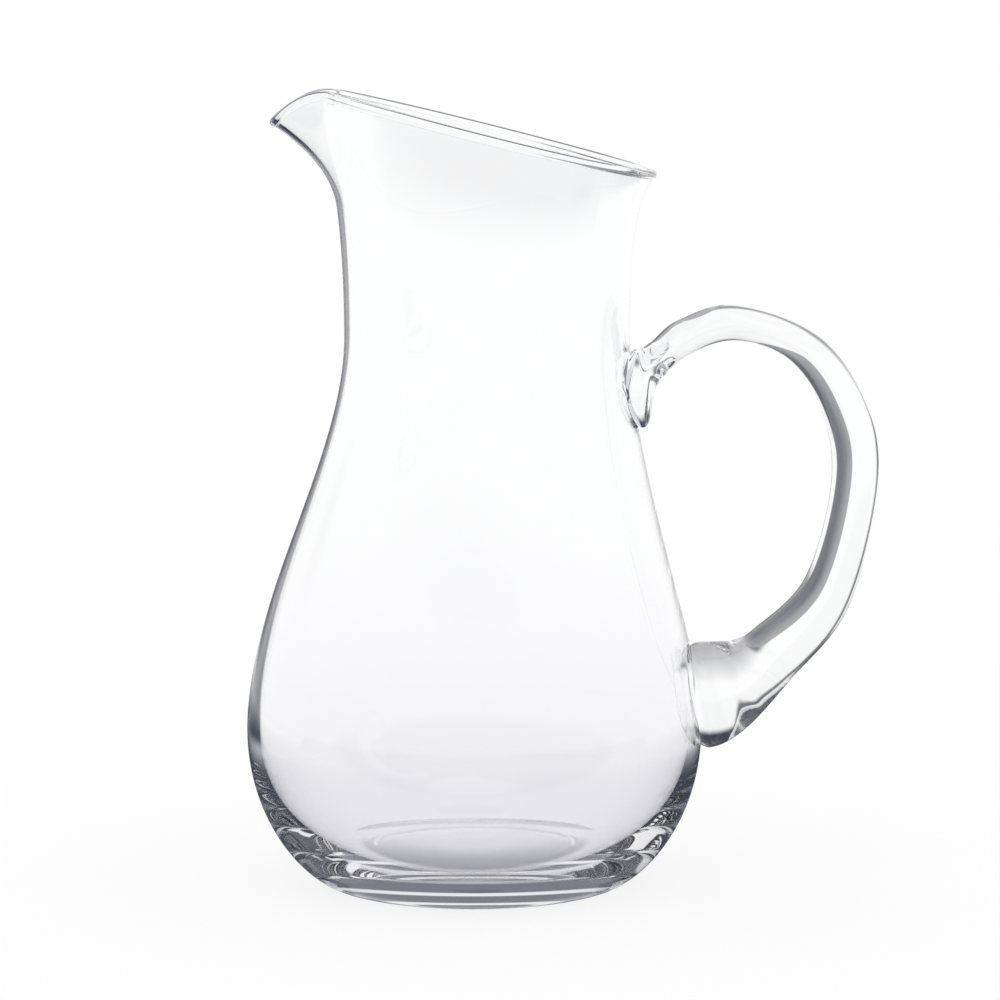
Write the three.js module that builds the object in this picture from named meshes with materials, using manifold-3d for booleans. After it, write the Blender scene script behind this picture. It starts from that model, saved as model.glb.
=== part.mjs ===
// A mouth-blown glass pitcher in millimetres, +Z up, standing on Z = 0.
// The spout points along -X and the handle along +X. The origin is the middle of the whole footprint.
// Two pieces of glass: the blown vessel, and a solid drawn handle stuck on at belly and neck.

import * as THREE from "three";
import { LoftGeometry } from "three/addons/geometries/LoftGeometry.js";
import { mergeVertices } from "three/addons/utils/BufferGeometryUtils.js";
import Module from "manifold-3d";

// Outside of the vessel, from the table up: three radii and heights, and how far the curve between
// them keeps its direction as it leaves each one.
const FOOT_RADIUS = 48;
const FOOT_ROUND = 2.5;
const CORNER_OUT = 12.3;
const CORNER_UP = 6.1;
const BELLY_RADIUS = 73;
const BELLY_HEIGHT = 49.3;
const BELLY_FULLNESS = 24.4;
const SHOULDER_FULLNESS = 36;
const NECK_RADIUS = 45.4;
const NECK_HEIGHT = 175.3;
const NECK_LENGTH = 38.9;
const NECK_LEAN = 4.1;
const LEAN_START = 77.7;

// The mouth, measured to the middle of its wall and before its slant.
const MOUTH_RADIUS = 52.6;
const MOUTH_HEIGHT = 240;
const FLARE_START = 32;
const FLARE_OUT = 5.5;
const FLARE_UP = 18;
const MOUTH_SLOPE = 0.25;
const SLANT_EASE = 3;
const BEAD_RADIUS = 1.3;
const BEAD_WRAP = 0.2;

// The spout, pulled out of the edge of the mouth.
const SPOUT_REACH = 14.8;
const SPOUT_DROP = 9.8;
const SPOUT_HALF_ANGLE = THREE.MathUtils.degToRad(25);
const SPOUT_START = 0.6;
const SPOUT_EASE = 1.9;
const LIP_EASE = 1.9;

// Glass thickness. The wall thickens towards the rounded corner of the floor.
const MOUTH_WALL = 1.8;
const NECK_WALL = 1.8;
const BELLY_WALL = 4;
const FLOOR_THICKNESS = 5.5;
const FLOOR_FLATNESS = 46;
const FLOOR_CORNER = 30;

// The shallow push-up under the base, inside the ring that the pitcher stands on. Its edge is a small bevelled
// step, and the floor rises over it.
const PUSH_UP_RADIUS = 34;
const PUSH_UP_DEPTH = 2.4;
const STEP_WIDTH = 1.4;
const STEP_HEIGHT = 0.7;
const FLOOR_RADIUS = 34;
const FLOOR_RISE = 1.8;

// The handle: where its two ends sit on the wall, how far it stands out from the axis, and its bow.
// The hot ends have pushed the wall in behind their seats, so it bulges there on the inside.
const LOWER_SEAT_HEIGHT = 60.5;
const LOWER_SEAT_TALL = 33;
const LOWER_SEAT_WIDE = 35;
const UPPER_SEAT_HEIGHT = 158;
const UPPER_SEAT_TALL = 27;
const UPPER_SEAT_WIDE = 33;
const HANDLE_REACH = 129.7;
const HANDLE_MID_HEIGHT = 130;
const HANDLE_TOP = 185.4;
const GRIP_THICKNESS = 15.6;
const GRIP_WIDTH = 19;
const BOW_THICKNESS = 11.3;
const BOW_WIDTH = 19;
const SEAT_DEPTH = 9;
const SEAT_BULGE = 2;
const SEAL_GAP = 0.3;

// How finely the curves are divided.
const RING_SIDES = 72;
const SPOUT_CROWDING = 0.5;
const DOME_STEPS = 4;
const EDGE_STEPS = 3;
const CORNER_STEPS = 9;
const SHOULDER_STEPS = 11;
const BEAD_STEPS = 6;
const FLOOR_STEPS = 8;
const FLARE_STATIONS = [0.2, 0.38, 0.54, 0.68, 0.79, 0.88, 0.95];
const SECTION_SIDES = 20;
const HANDLE_STEPS = 46;
const OUTLINE_STEPS = 60;

const point = (x, y) => new THREE.Vector2(x, y);
const bezier = (...points) => new THREE.CubicBezierCurve(...points);

// The outside below the mouth: base corner, then the long S of belly, shoulder and neck.
function outsideCurves() {
  const foot = point(FOOT_RADIUS, 0);
  const belly = point(BELLY_RADIUS, BELLY_HEIGHT);
  const neck = point(NECK_RADIUS, NECK_HEIGHT);
  const footLeave = point(FOOT_RADIUS + CORNER_OUT, CORNER_UP);
  const bellyArrive = point(BELLY_RADIUS, BELLY_HEIGHT - BELLY_FULLNESS);
  const bellyLeave = point(BELLY_RADIUS, BELLY_HEIGHT + SHOULDER_FULLNESS);
  const neckArrive = point(NECK_RADIUS, NECK_HEIGHT - NECK_LENGTH);
  return [bezier(foot, footLeave, bellyArrive, belly), bezier(belly, bellyLeave, neckArrive, neck)];
}

// The inside below the mouth: shoulder and belly, the rounded corner of the floor, and its rise.
function insideCurves() {
  const neck = point(NECK_RADIUS - NECK_WALL, NECK_HEIGHT);
  const belly = point(BELLY_RADIUS - BELLY_WALL, BELLY_HEIGHT);
  const neckLeave = point(neck.x, NECK_HEIGHT - NECK_LENGTH);
  const bellyArrive = point(belly.x, BELLY_HEIGHT + SHOULDER_FULLNESS);
  const bellyLeave = point(belly.x, BELLY_HEIGHT - FLOOR_CORNER);
  const floorArrive = point(FLOOR_FLATNESS, FLOOR_THICKNESS);
  const floor = point(FLOOR_RADIUS, FLOOR_THICKNESS);
  const top = FLOOR_THICKNESS + FLOOR_RISE;
  const half = FLOOR_RADIUS / 2;
  return [
    bezier(neck, neckLeave, bellyArrive, belly),
    bezier(belly, bellyLeave, floorArrive, floor),
    bezier(floor, point(half, FLOOR_THICKNESS), point(half, top), point(0, top)),
  ];
}

// The middle of the wall from neck to mouth, before the slant and the spout.
const mouthCurve = bezier(
  point(NECK_RADIUS - NECK_WALL / 2, NECK_HEIGHT),
  point(NECK_RADIUS - NECK_WALL / 2, NECK_HEIGHT + FLARE_START),
  point(MOUTH_RADIUS - FLARE_OUT, MOUTH_HEIGHT - FLARE_UP),
  point(MOUTH_RADIUS, MOUTH_HEIGHT),
);

// The neck stands a little off the belly's axis, towards the handle.
function lean(height) {
  return NECK_LEAN * THREE.MathUtils.smoothstep(height, LEAN_START, NECK_HEIGHT);
}

// A point of the wall's middle: along runs from 0 at the neck to 1 at the edge, angle from the handle.
function mouthPoint(along, angle) {
  const plain = mouthCurve.getPoint(along);
  const share = Math.max(0, (plain.y - NECK_HEIGHT) / (MOUTH_HEIGHT - NECK_HEIGHT));
  const fromSpout = Math.abs(Math.PI - angle) / SPOUT_HALF_ANGLE;
  const across = fromSpout < 1 ? Math.cos((fromSpout * Math.PI) / 2) ** 2 : 0;
  const up = Math.max(0, (share - SPOUT_START) / (1 - SPOUT_START)) ** SPOUT_EASE;
  const radius = plain.x + SPOUT_REACH * up * across;
  const slant = MOUTH_SLOPE * plain.x * Math.cos(angle) * share ** SLANT_EASE;
  const drop = SPOUT_DROP * up * across ** LIP_EASE;
  const x = radius * Math.cos(angle) + lean(plain.y);
  return new THREE.Vector3(x, radius * Math.sin(angle), plain.y - slant - drop);
}

// A point beside the wall's middle: out along the wall's normal and up along the wall.
function besideWall(along, angle, out, up) {
  const step = 0.001;
  const low = Math.max(0, along - step);
  const high = Math.min(1, along + step);
  const climb = mouthPoint(high, angle).sub(mouthPoint(low, angle)).normalize();
  const round = mouthPoint(along, angle + step).sub(mouthPoint(along, angle - step)).normalize();
  const normal = round.cross(climb).normalize();
  return mouthPoint(along, angle).addScaledVector(normal, out).addScaledVector(climb, up);
}

// Angles round the vessel, closer together at the spout.
function ringAngles() {
  return Array.from({ length: RING_SIDES }, (_, i) => {
    const turn = (i / RING_SIDES) * 2 * Math.PI;
    return turn + SPOUT_CROWDING * Math.sin(turn);
  });
}

const ring = (place) => ringAngles().map(place);

// A level ring on the outside or inside of the vessel below the mouth, drawn in by an inset at each angle.
function levelRing(radius, height, inset = () => 0) {
  const shift = lean(height);
  return ring((a) => {
    const out = radius - inset(a);
    return new THREE.Vector3(out * Math.cos(a) + shift, out * Math.sin(a), height);
  });
}

// How far the wall bulges in behind the handle's seats, at a distance to one side of them and a height.
function seatBulge(aside, height) {
  const dome = (middle, tall, wide) => {
    const away = Math.hypot((2 * aside) / wide, (2 * (height - middle)) / tall);
    return SEAT_BULGE * Math.max(0, 1 - away * away) ** 2;
  };
  const lower = dome(LOWER_SEAT_HEIGHT, LOWER_SEAT_TALL, LOWER_SEAT_WIDE);
  const upper = dome(UPPER_SEAT_HEIGHT, UPPER_SEAT_TALL, UPPER_SEAT_WIDE);
  return lower + upper;
}

// Points of a curve at even steps, without the first, which the curve before it ends on.
const stepsOf = (curve, steps) => curve.getPoints(steps).slice(1);

function wallHalf(along) {
  return THREE.MathUtils.lerp(NECK_WALL, MOUTH_WALL, along) / 2;
}

// The rounded edge between the flat of the foot and the wall that rises from it.
function footEdge(corner) {
  const end = corner.getPointAt(FOOT_ROUND / corner.getLength());
  return new THREE.QuadraticBezierCurve(point(FOOT_RADIUS - FOOT_ROUND, 0), point(FOOT_RADIUS, 0), end);
}

// Rings up the outside from the foot to the neck, grown outwards by a gap.
function outsideRings(gap) {
  const [corner, shoulder] = outsideCurves();
  const foot = footEdge(corner).getPoints(EDGE_STEPS);
  const spots = [...foot, ...stepsOf(corner, CORNER_STEPS), ...stepsOf(shoulder, SHOULDER_STEPS)];
  return spots.map((p) => levelRing(p.x + gap, p.y));
}

// Rings beside the wall of the flaring mouth, on the outside for side 1 and on the inside for side -1.
function flareRings(side, gap) {
  return FLARE_STATIONS.map((s) => ring((a) => besideWall(s, a, side * (wallHalf(s) + gap), 0)));
}

// The round edge of the mouth, a little thicker than the wall. It wraps past half a turn on both sides.
function beadRings() {
  return Array.from({ length: BEAD_STEPS + 1 }, (_, i) => {
    const turn = THREE.MathUtils.lerp(-BEAD_WRAP, 1 + BEAD_WRAP, i / BEAD_STEPS) * Math.PI;
    return ring((a) => besideWall(1, a, BEAD_RADIUS * Math.cos(turn), BEAD_RADIUS * Math.sin(turn)));
  });
}

// Rings down the inside from the neck to the middle of the floor.
function insideRings() {
  const [shoulder, corner, floor] = insideCurves();
  const wall = [...shoulder.getPoints(SHOULDER_STEPS), ...stepsOf(corner, FLOOR_STEPS)];
  const spots = [...wall, ...stepsOf(floor, DOME_STEPS)];
  return spots.map((p) =>
    levelRing(p.x, p.y, (a) => (Math.cos(a) > 0 ? seatBulge(p.x * Math.sin(a), p.y) : 0)),
  );
}

// The push-up, from the middle of the underside out to the top of its step and down to the foot.
function pushUpRings() {
  const stepTop = point(PUSH_UP_RADIUS - STEP_WIDTH, STEP_HEIGHT);
  const middle = point(0, PUSH_UP_DEPTH);
  const dome = new THREE.QuadraticBezierCurve(middle, point(stepTop.x / 2, PUSH_UP_DEPTH), stepTop);
  const spots = [...dome.getPoints(DOME_STEPS), point(PUSH_UP_RADIUS, 0)];
  return spots.map((p) => levelRing(p.x, p.y));
}

// The vessel: rings from the middle of the underside, up the outside, over the edge and down the inside.
function vesselGeometry() {
  return new LoftGeometry([
    ...pushUpRings(),
    ...outsideRings(0),
    ...flareRings(1, 0),
    ...beadRings(),
    ...flareRings(-1, 0).reverse(),
    ...insideRings(),
  ]);
}

// The outside of the vessel as a solid block, grown by a gap, to trim the ends of the handle with.
function trimmingBlock(gap) {
  const rings = [...outsideRings(gap), ...flareRings(1, gap)];
  return new LoftGeometry(rings, { capStart: true, capEnd: true });
}

// The outside of the wall on the handle's side, from the foot to the edge of the mouth.
function handleSideOutline() {
  const [corner, shoulder] = outsideCurves();
  const below = [...corner.getPoints(OUTLINE_STEPS), ...stepsOf(shoulder, OUTLINE_STEPS)];
  const above = FLARE_STATIONS.map((s) => besideWall(s, 0, wallHalf(s), 0));
  return [...below.map((p) => point(p.x + lean(p.y), p.y)), ...above.map((p) => point(p.x, p.z))];
}

// Where the outside of the wall stands on the handle's side, at a height.
function wallAt(height) {
  const spots = handleSideOutline();
  const found = spots.findIndex((p) => p.y >= height);
  const above = found < 1 ? spots.length - 1 : found;
  const [a, b] = [spots[above - 1], spots[above]];
  return THREE.MathUtils.mapLinear(height, a.y, b.y, a.x, b.x);
}

// Sections of the handle from belly to neck: a point on its inner edge, one on its outer edge, and its width.
// Points lie off a seat, off the middle of the grip or off the top of the bow. Their offsets are counted in
// the size that shapes the handle there: grip and bow thickness, half a seat, or the span to the next place.
function handleStations() {
  const low = point(wallAt(LOWER_SEAT_HEIGHT), LOWER_SEAT_HEIGHT);
  const high = point(wallAt(UPPER_SEAT_HEIGHT), UPPER_SEAT_HEIGHT);
  const grip = GRIP_THICKNESS;
  const bow = BOW_THICKNESS;
  const lowHalf = LOWER_SEAT_TALL / 2;
  const highHalf = UPPER_SEAT_TALL / 2;
  const fall = HANDLE_MID_HEIGHT - LOWER_SEAT_HEIGHT;
  const rise = HANDLE_TOP - HANDLE_MID_HEIGHT;
  const span = (HANDLE_REACH - high.x) / 2;
  const mid = point(HANDLE_REACH, HANDLE_MID_HEIGHT);
  const top = point(high.x + 0.82 * span, HANDLE_TOP);
  const lowWide = (LOWER_SEAT_WIDE + GRIP_WIDTH) / 2;
  const highWide = (UPPER_SEAT_WIDE + BOW_WIDTH) / 2;
  const station = (from, inner, outer, width) => ({
    inner: point(from.x + inner[0], from.y + inner[1]),
    outer: point(from.x + outer[0], from.y + outer[1]),
    width,
  });
  return [
    station(low, [-SEAT_DEPTH, lowHalf], [-SEAT_DEPTH, -lowHalf], LOWER_SEAT_WIDE),
    station(low, [0.2 * grip, lowHalf], [0.25 * grip, -1.06 * lowHalf], LOWER_SEAT_WIDE),
    station(low, [0.7 * grip, 1.04 * lowHalf], [0.96 * grip, -0.7 * lowHalf], lowWide),
    station(low, [1.15 * grip, 1.28 * lowHalf], [1.86 * grip, 0.24 * lowHalf], 1.1 * GRIP_WIDTH),
    station(mid, [-1.51 * grip, -0.46 * fall], [-0.6 * grip, -0.59 * fall], GRIP_WIDTH),
    station(mid, [-grip, -0.015 * fall], [0, 0], GRIP_WIDTH),
    station(mid, [-1.22 * grip, 0.4 * rise], [-0.3 * grip, 0.43 * rise], GRIP_WIDTH),
    station(top, [0.44 * span, -1.55 * bow], [0.68 * span, -0.88 * bow], BOW_WIDTH),
    station(top, [0.025 * span, -bow], [0, 0], BOW_WIDTH),
    station(high, [1.64 * bow, 0.89 * highHalf], [1.26 * bow, 1.67 * highHalf], BOW_WIDTH),
    station(high, [0.66 * bow, 0.11 * highHalf], [0.49 * bow, 1.15 * highHalf], highWide),
    station(high, [0.36 * bow, -0.85 * highHalf], [0.09 * bow, highHalf], UPPER_SEAT_WIDE),
    station(high, [-SEAT_DEPTH, -highHalf], [-SEAT_DEPTH, 0.93 * highHalf], UPPER_SEAT_WIDE),
  ];
}

// The handle before its ends are trimmed: oval sections that span the two edges.
function handleBlank() {
  const stations = handleStations();
  const inner = new THREE.SplineCurve(stations.map((s) => s.inner));
  const outer = new THREE.SplineCurve(stations.map((s) => s.outer));
  const width = new THREE.SplineCurve(stations.map((s, i) => point(i, s.width)));
  const sections = Array.from({ length: HANDLE_STEPS + 1 }, (_, i) => {
    const share = i / HANDLE_STEPS;
    const near = inner.getPoint(share);
    const far = outer.getPoint(share);
    const middle = near.clone().add(far).multiplyScalar(0.5);
    const arm = far.clone().sub(near).multiplyScalar(0.5);
    const half = width.getPoint(share).y / 2;
    return Array.from({ length: SECTION_SIDES }, (_unused, k) => {
      const turn = (k / SECTION_SIDES) * 2 * Math.PI;
      const spot = middle.clone().addScaledVector(arm, Math.cos(turn));
      return new THREE.Vector3(spot.x, half * Math.sin(turn), spot.y);
    });
  });
  return new LoftGeometry(sections, { capStart: true, capEnd: true });
}

const wasm = await Module();
wasm.setup();

function solidOf(geometry) {
  const bare = new THREE.BufferGeometry();
  bare.setAttribute("position", geometry.getAttribute("position"));
  bare.setIndex(geometry.getIndex());
  const merged = mergeVertices(bare);
  const vertProperties = new Float32Array(merged.attributes.position.array);
  const triVerts = new Uint32Array(merged.index.array);
  return new wasm.Manifold(new wasm.Mesh({ numProp: 3, vertProperties, triVerts }));
}

function geometryOf(solid) {
  const mesh = solid.getMesh();
  const geometry = new THREE.BufferGeometry();
  geometry.setAttribute("position", new THREE.BufferAttribute(mesh.vertProperties, 3));
  geometry.setIndex(new THREE.BufferAttribute(mesh.triVerts, 1));
  geometry.computeVertexNormals();
  return geometry;
}

function handleGeometry() {
  return geometryOf(solidOf(handleBlank()).subtract(solidOf(trimmingBlock(SEAL_GAP))));
}

const glass = { color: 0xf4f7f8, roughness: 0.02, metalness: 0, transparent: true, opacity: 0.35 };

function piece(name, geometry) {
  const mesh = new THREE.Mesh(geometry, new THREE.MeshStandardMaterial(glass));
  mesh.name = name;
  return mesh;
}

const pitcher = new THREE.Group();
pitcher.name = "pitcher";
pitcher.add(piece("vessel", vesselGeometry()));
pitcher.add(piece("handle", handleGeometry()));
// The pieces are made round the belly's axis, and the group moves the origin between belly and handle.
pitcher.position.x = (BELLY_RADIUS - HANDLE_REACH) / 2;

export default pitcher;
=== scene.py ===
"""A clear mouth-blown glass pitcher with a solid drawn handle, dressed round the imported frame, in metres.

The two pieces of glass follow the same curves as the frame's solids, but much finer, and the handle's ends
are fused to the wall: there the two pieces have the same faces, which light passes without bending.
"""

import math

import bpy
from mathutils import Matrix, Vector
from mathutils.geometry import delaunay_2d_cdt


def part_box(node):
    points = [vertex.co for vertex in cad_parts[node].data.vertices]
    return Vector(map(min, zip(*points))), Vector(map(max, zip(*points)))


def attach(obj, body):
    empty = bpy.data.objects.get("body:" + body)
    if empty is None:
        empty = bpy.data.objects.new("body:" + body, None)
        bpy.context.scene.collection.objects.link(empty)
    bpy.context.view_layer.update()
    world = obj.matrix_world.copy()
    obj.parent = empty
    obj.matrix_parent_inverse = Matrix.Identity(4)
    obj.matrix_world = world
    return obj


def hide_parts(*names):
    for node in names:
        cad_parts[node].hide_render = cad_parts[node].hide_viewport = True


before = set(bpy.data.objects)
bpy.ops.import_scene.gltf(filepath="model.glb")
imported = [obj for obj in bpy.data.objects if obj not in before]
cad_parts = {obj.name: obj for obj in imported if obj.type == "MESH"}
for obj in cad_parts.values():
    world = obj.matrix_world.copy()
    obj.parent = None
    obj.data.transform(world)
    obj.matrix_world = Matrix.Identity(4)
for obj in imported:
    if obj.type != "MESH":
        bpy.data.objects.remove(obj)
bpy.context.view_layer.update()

MM = 0.001

# BELLY_RADIUS, BEAD_RADIUS and HANDLE_REACH are a hair smaller than in the part, so that these finer curves
# stay inside the box of its faceted solids.

# Outside of the vessel, from the table up: radii, heights, and how far the curve keeps its direction.
FOOT_RADIUS = 48 * MM
FOOT_ROUND = 2.5 * MM
CORNER_OUT = 12.3 * MM
CORNER_UP = 6.1 * MM
BELLY_RADIUS = 72.98 * MM
BELLY_HEIGHT = 49.3 * MM
BELLY_FULLNESS = 24.4 * MM
SHOULDER_FULLNESS = 36 * MM
NECK_RADIUS = 45.4 * MM
NECK_HEIGHT = 175.3 * MM
NECK_LENGTH = 38.9 * MM
NECK_LEAN = 4.1 * MM
LEAN_START = 77.7 * MM

# The mouth, measured to the middle of its wall and before its slant.
MOUTH_RADIUS = 52.6 * MM
MOUTH_HEIGHT = 240 * MM
FLARE_START = 32 * MM
FLARE_OUT = 5.5 * MM
FLARE_UP = 18 * MM
MOUTH_SLOPE = 0.25
SLANT_EASE = 3
BEAD_RADIUS = 1.25 * MM
BEAD_WRAP = 0.2

# The spout, pulled out of the edge of the mouth.
SPOUT_REACH = 14.8 * MM
SPOUT_DROP = 9.8 * MM
SPOUT_HALF_ANGLE = math.radians(25)
SPOUT_START = 0.6
SPOUT_EASE = 1.9
LIP_EASE = 1.9

# Glass thickness, and the push-up under the base with the bevelled step at its edge.
MOUTH_WALL = 1.8 * MM
NECK_WALL = 1.8 * MM
BELLY_WALL = 4 * MM
FLOOR_THICKNESS = 5.5 * MM
FLOOR_FLATNESS = 46 * MM
FLOOR_CORNER = 30 * MM
FLOOR_RADIUS = 34 * MM
FLOOR_RISE = 1.8 * MM
PUSH_UP_RADIUS = 34 * MM
PUSH_UP_DEPTH = 2.4 * MM
STEP_WIDTH = 1.4 * MM
STEP_HEIGHT = 0.7 * MM

# The handle, and the wall that its hot ends have pushed in. TOP_PLACE is where the bow is highest, as a
# share of half the way from the neck to the handle's reach.
LOWER_SEAT_HEIGHT = 60.5 * MM
LOWER_SEAT_TALL = 33 * MM
LOWER_SEAT_WIDE = 35 * MM
UPPER_SEAT_HEIGHT = 158 * MM
UPPER_SEAT_TALL = 27 * MM
UPPER_SEAT_WIDE = 33 * MM
HANDLE_REACH = 129.64 * MM
HANDLE_MID_HEIGHT = 130 * MM
HANDLE_TOP = 185.4 * MM
TOP_PLACE = 0.82
GRIP_THICKNESS = 15.6 * MM
GRIP_WIDTH = 19 * MM
BOW_THICKNESS = 11.3 * MM
BOW_WIDTH = 19 * MM
SEAT_DEPTH = 9 * MM
SEAT_BULGE = 2 * MM

# The groove round each seat, and over how many rows of the handle's mesh it fades out.
GROOVE_DEPTH = 1.2 * MM
GROOVE_ROWS = 4

# How finely the curves are divided. CREASE is how far to either side of an edge its two rings lie, and
# FOOT_EDGE_END is where on the corner's curve the rounded edge of the foot ends.
RING_SIDES = 240
DOME_STEPS = 16
CREASE = 0.15 * MM
FOOT_EDGE_END = 0.06
EDGE_STEPS = 6
CORNER_STEPS = 34
SHOULDER_STEPS = 60
FLARE_STEPS = 44
BEAD_STEPS = 14
FLOOR_STEPS = 44
SECTION_SIDES = 72
HANDLE_STEPS = 180

# The step to either side that measures the slope of the mouth's wall, as a share of its curve or in radians.
SLOPE_STEP = 0.001

# How the seats are found: the highest place on the outside that is searched, the step along the handle, and
# how often the stretch that is left gets halved.
HIGHEST_PLACE = 2.9
HANDLE_SEARCH = 0.005
HALVINGS = 40

# How the wall's mesh is cut along a seat: spare rows and columns round it, how close to the seat's loop the
# wall's own points may lie, as a share of the loop's step, the distance below which points are the same, and
# the choice of all triangles, not only those inside the loop.
SPARE_ROWS = 2
LOOP_GAP = 0.45
SAME_POINT = 1e-9
ALL_TRIANGLES = 0

# The kinds of faces.
GLASS, WELD = 0, 1

# The glass: faint tints for the thick base, the thin neck and the drawn handle, and the cords in it.
THICK_COLOUR = (0.925, 0.922, 0.95, 1)
THIN_COLOUR = (0.995, 0.996, 1, 1)
DRAWN_COLOURS = ((0.975, 0.978, 0.985, 1), (1, 1, 1, 1))
THICK_HEIGHT = (5 * MM, 115 * MM)
CORD_SIZE = 25 * MM
CORD_SHARE = 0.12
GLASS_IOR = 1.5

# The floor, which is a table that fades out at its edge, and the light on it. The camera sees TABLE_GLOW of
# its white as a glow and the rest as real shading.
TABLE_RADIUS = 0.9
TABLE_FADE = 0.35
TABLE_SIDES = 96
TABLE_DROP = 0.2 * MM
TABLE_GLOW = 0.85
TABLE_ROUGHNESS = 0.9
TABLE_COLOUR = (0.9, 0.9, 0.9, 1)
WHITE = (1, 1, 1, 1)
FILL_COLOUR = (1.1, 1.1, 1.1, 1)

# How often the glass has turned a ray: twice in a plain pass through the handle or one wall, many times in
# the base's corner. A ray that has gone through three faces or more has passed into the vessel and on. The
# world counts one turn more than the floor does.
SHALLOW_TURNS = 2.5
DEEP_TURNS = 5.5
CLEAR_DEPTH = 2.5
WORLD_TURN = 1

# The studio as the glass shows it: white, with dark ground, a dark ceiling and dark areas to the left and
# the right, all painted reflections and refractions that only rays from the glass see; the camera sees white.
# Each pair is where an ease starts and ends, as a part of the ray's direction.
DARK_COLOUR = (0.05, 0.055, 0.075, 1)
WALL_COLOUR = (0.2, 0.2, 0.22, 1)
GROUND = (-0.48, -0.34)
CEILING = (0.32, 0.5)
BEHIND = (-0.1, 0.1)

# The left side, a painted dark reflection which is narrower high up and darker low down, the part of it that
# a plain pass shows, and the corner behind it that the glass mirrors.
LEFT_START = (0.05, 0.12)
LEFT_END = (0.33, 0.42)
LEFT_SLANT = 1.4
LEFT_LOW = (-0.16, -0.05)
OUTER_EDGE = (0.5, 0.58)
OUTER_END = (0.61, 0.65)
CORNER_SIDE = (0.02, 0.12)
CORNER_BACK = (0.88, 0.97)

# The right side, a painted dark reflection which the handle shows along its inner edge, darker further round.
RIGHT_SIDE = (0.155, 0.17)
RIGHT_END = (0.58, 0.64)
RIGHT_ROUND = (0.15, 0.45)
RIGHT_COLOURS = ((0.38, 0.38, 0.4, 1), (0.12, 0.125, 0.145, 1))

# What is painted dim to rays that have passed right through: the room high up in front and low down behind.
STEEP = (0.35, 0.45)
STEEP_BACK = (0.5, 0.75)
RISING = (0.1, 0.3)
FAR_COLOUR = (0.7, 0.7, 0.72, 1)

# What the thick corner of the base shows, as painted dark refractions: dark from the level up, but white to
# the sides behind, on the right only low down.
DEEP_COLOUR = (0.06, 0.062, 0.075, 1)
DEEP_FOOT = (-0.05, 0.05)
DEEP_SIDE = (0.25, 0.35)
DEEP_BACK = (0.3, 0.45)
DEEP_LEVEL = (0.06, 0.12)

# The table as the glass shows it, which the camera sees white: painted dark reflections and refractions near
# the vessel, and pale grey in front for plain passes. Each pair is where an ease starts and ends, in metres
# from the vessel's axis, or back or to the right from the frame's origin. Under the base it has painted shade
# with white rings in it, UNDER_RING apart, and UNDER_WAVE is where on their sine wave the white starts and is
# full.
SENT_SIGHT = (0.2, 0.3)
CLEAR_SIGHT = (0.15, 0.2)
HANDLE_SIGHT = (0.07, 0.085)
# TABLE_EDGE and MIRROR_EDGE are where the painted dark reflections near the vessel fade to white.
TABLE_EDGE = (0.12, 0.3)
MIRROR_EDGE = (0.3, 0.6)
# A painted grey refraction for plain passes through the handle or one wall: pale in front, white behind.
PALE_COLOUR = (0.35, 0.35, 0.37, 1)
PALE_DEPTH = (0, 0.22)
# Painted shade under the base, with white rings in it.
UNDER_SHADE_COLOUR = (0.2, 0.2, 0.23, 1)
UNDER_EDGE = (0.046, 0.054)
UNDER_RING = 8 * MM
UNDER_WAVE = (0.3, 1.0)
SHADE_COLOUR = (0.4, 0.4, 0.42, 1)
SHADE_EDGE = (0.034, 0.042)
SHADE_DEPTH = (-0.034, 0.03)

# The camera at the photograph's place, its lens in millimetres, and how often light may turn in the glass.
CAMERA_LENS = 147.56
CAMERA_RIGHT = 8.24 * MM
CAMERA_BACK = 1300 * MM
CAMERA_HEIGHT = 286.46 * MM
CAMERA_TILT = math.radians(7.17)
GLASS_BOUNCES = 128
CLEAR_BOUNCES = 16

# The belly's axis in the frame.
vessel_low, vessel_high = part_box("vessel")
AXIS_X = (vessel_low.x + vessel_high.x) / 2


# Curves

def mix(a, b, share):
    return a + (b - a) * share


def smoothstep(value, low, high):
    share = min(1, max(0, (value - low) / (high - low)))
    return share * share * (3 - 2 * share)


def cubic(start, leave, arrive, end):
    """A cubic Bezier curve between two ends, as a function of 0 to 1."""
    def at(t):
        s = 1 - t
        weights = (s ** 3, 3 * s * s * t, 3 * s * t * t, t ** 3)
        points = (start, leave, arrive, end)
        return tuple(sum(w * p[axis] for w, p in zip(weights, points)) for axis in (0, 1))
    return at


def bend(start, turn, end):
    """A quadratic Bezier curve between two ends, as a function of 0 to 1."""
    leave = [mix(a, b, 2 / 3) for a, b in zip(start, turn)]
    arrive = [mix(a, b, 2 / 3) for a, b in zip(end, turn)]
    return cubic(start, leave, arrive, end)


def spline(points):
    """A smooth curve through points of any number of coordinates, as a function of 0 to 1."""
    last = len(points) - 1

    def at(t):
        place = last * t
        i = min(int(place), last - 1)
        w = place - i
        before, here = points[max(0, i - 1)], points[i]
        after, next_one = points[i + 1], points[min(last, i + 2)]
        found = []
        for p0, p1, p2, p3 in zip(before, here, after, next_one):
            v0, v1 = (p2 - p0) / 2, (p3 - p1) / 2
            cube = (2 * p1 - 2 * p2 + v0 + v1) * w ** 3
            square = (3 * p2 - 3 * p1 - 2 * v0 - v1) * w ** 2
            found.append(cube + square + v0 * w + p1)
        return found
    return at


def steps(count):
    """Even shares from 0 to 1."""
    return [i / count for i in range(count + 1)]


def crossing(low, high, holds):
    """Where a test that holds at low and fails at high turns, by halving the stretch between them."""
    for _ in range(HALVINGS):
        middle = (low + high) / 2
        if holds(middle):
            low = middle
        else:
            high = middle
    return (low + high) / 2


# The vessel's wall

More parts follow.
